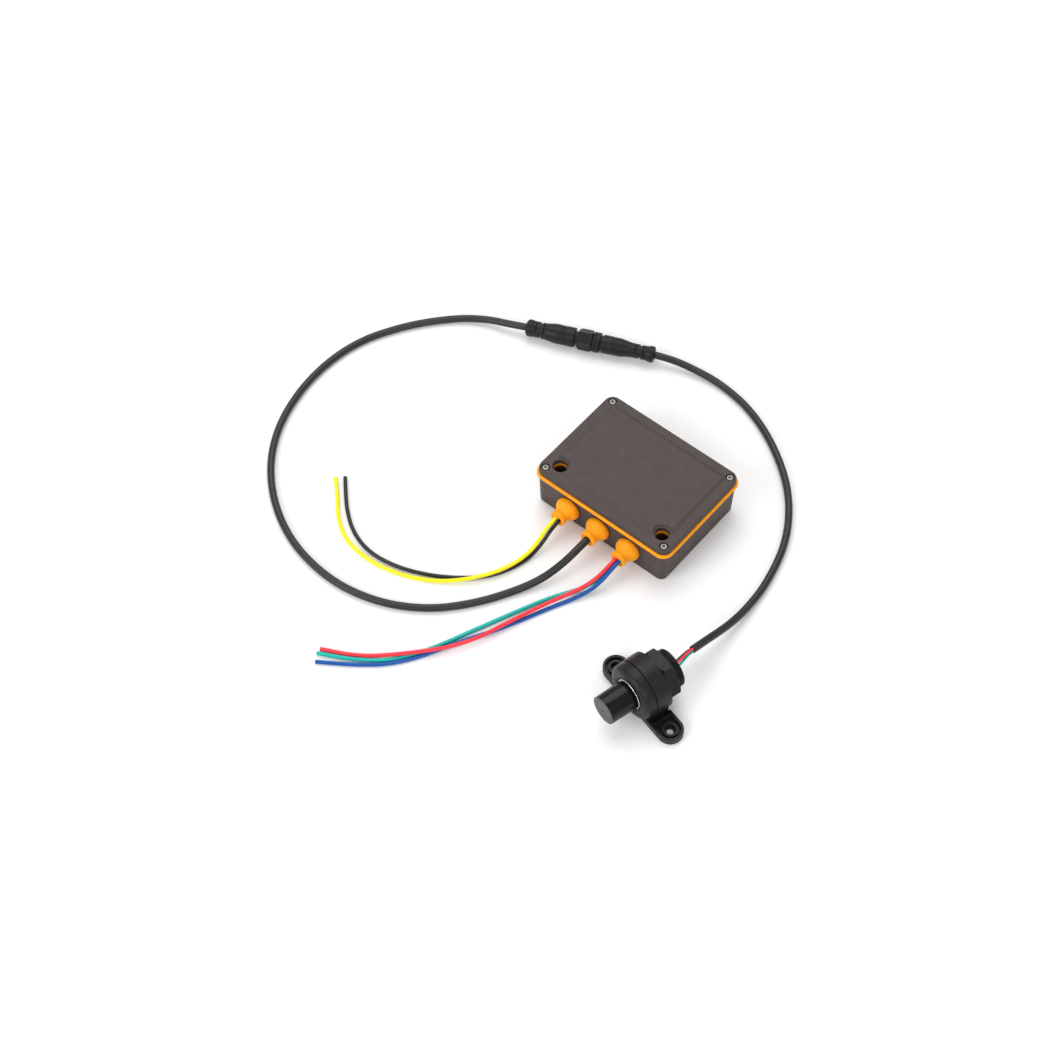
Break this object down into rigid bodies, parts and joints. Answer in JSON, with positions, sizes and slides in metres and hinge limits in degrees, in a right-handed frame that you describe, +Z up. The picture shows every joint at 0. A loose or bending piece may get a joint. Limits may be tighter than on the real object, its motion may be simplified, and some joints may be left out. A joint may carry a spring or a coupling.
{
  "type": "ultrasonic distance sensor",
  "caption": "Ultrasonic distance sensor: sealed control box, bare supply and signal wires, inline M12-style connector and a long cable to a clamped probe head.",
  "frame": {"origin": "centre of the control box underside, on the surface it stands on", "axes": "+X along the long side of the box, -Y out of the side the wires leave, +Z up from the surface"},
  "size_m": [0.3805, 0.353, 0.0408],
  "materials": {
    "box_plastic": "moulded, finely textured",
    "black_plastic": "satin moulded",
    "gloss_black": "polished moulded",
    "orange_rubber": "soft satin",
    "face_grey": "fine matt",
    "steel": "zinc plated",
    "bright_ring": "polished",
    "brass": "turned",
    "black_rubber": "matt",
    "cable_jacket": "semi-matt jacket",
    "yellow_wire": "smooth insulation",
    "black_wire": "smooth insulation",
    "red_wire": "smooth insulation",
    "green_wire": "smooth insulation",
    "blue_wire": "smooth insulation",
    "board_green": "solder mask",
    "terminal_green": "moulded",
    "chip_black": "epoxy moulded",
    "ferrite": "sintered",
    "coil_former": "taped winding",
    "can_metal": "drawn can",
    "piezo_ceramic": "fired ceramic",
    "foam": "open foam",
    "epoxy": "poured resin"
  },
  "bodies": {
    "box": {"enclosure_base": "box_plastic", "threaded_inserts": "brass", "lid_gasket": "orange_rubber", "power_grommet": "orange_rubber", "sensor_grommet": "orange_rubber", "signal_grommet": "orange_rubber", "circuit_board": "board_green", "board_screws": "steel", "power_terminal": "terminal_green", "sensor_terminal": "terminal_green", "signal_terminal": "terminal_green", "power_leads": "yellow_wire", "sensor_lead": "cable_jacket", "signal_leads": "red_wire", "transformer_core": "ferrite", "transformer_coil": "coil_former", "capacitors": "can_metal", "microcontroller": "chip_black", "driver_chip": "chip_black", "crystal": "can_metal", "voltage_regulator": "chip_black", "connector_cable": "cable_jacket", "yellow_wire": "yellow_wire", "black_wire": "black_wire", "red_wire": "red_wire", "green_wire": "green_wire", "blue_wire": "blue_wire", "socket_overmold": "black_plastic", "socket_insert": "black_plastic", "socket_contacts": "brass", "seal_ring": "black_rubber"},
    "lid": {"enclosure_lid": "box_plastic", "lid_screws": "steel"},
    "coupling": {"coupling_nut": "black_plastic"},
    "sensor_side": {"plug_shell": "black_plastic", "plug_overmold": "black_plastic", "plug_pins": "brass", "sensor_cable": "cable_jacket", "core_black": "black_wire", "core_red": "red_wire", "core_green": "green_wire", "sensor_bracket": "black_plastic"},
    "head": {"head_housing": "black_plastic", "probe_sleeve": "gloss_black", "probe_face": "face_grey", "piezo_disc": "piezo_ceramic", "damping_pad": "foam", "probe_collar": "bright_ring", "flange_seal": "black_rubber", "rear_potting": "epoxy"},
    "washer": {"clamp_washer": "black_plastic"},
    "nut": {"clamp_nut": "black_plastic"}
  },
  "joints": [
    {"name": "lid_lift", "type": "slide", "parent": "box", "child": "lid", "axis": [0, 0, 1], "range_m": [0, 0.03]},
    {"name": "connector_part", "type": "slide", "parent": "box", "child": "sensor_side", "axis": [0.9133, 0.4072, 0], "range_m": [0, 0.012]},
    {"name": "coupling_turn", "type": "hinge", "parent": "box", "child": "coupling", "pos_m": [-0.11201, 0.08432, 0.00772], "axis": [0.9133, 0.4072, 0], "range_deg": [0, 1080]},
    {"name": "head_roll", "type": "hinge", "parent": "sensor_side", "child": "head", "pos_m": [0.1001, -0.11746, 0.0208], "axis": [0.2487, 0.9686, 0], "range_deg": [-180, 180]},
    {"name": "washer_slide", "type": "slide", "parent": "sensor_side", "child": "washer", "axis": [0.2487, 0.9686, 0], "range_m": [0, 0.004]},
    {"name": "nut_turn", "type": "hinge", "parent": "washer", "child": "nut", "pos_m": [0.10258, -0.10778, 0.0208], "axis": [0.2487, 0.9686, 0], "range_deg": [0, 720]}
  ],
  "couplings": [
    {"joint": "washer_slide", "follows": "nut_turn", "m_per_rad": 0.00031831}
  ]
}
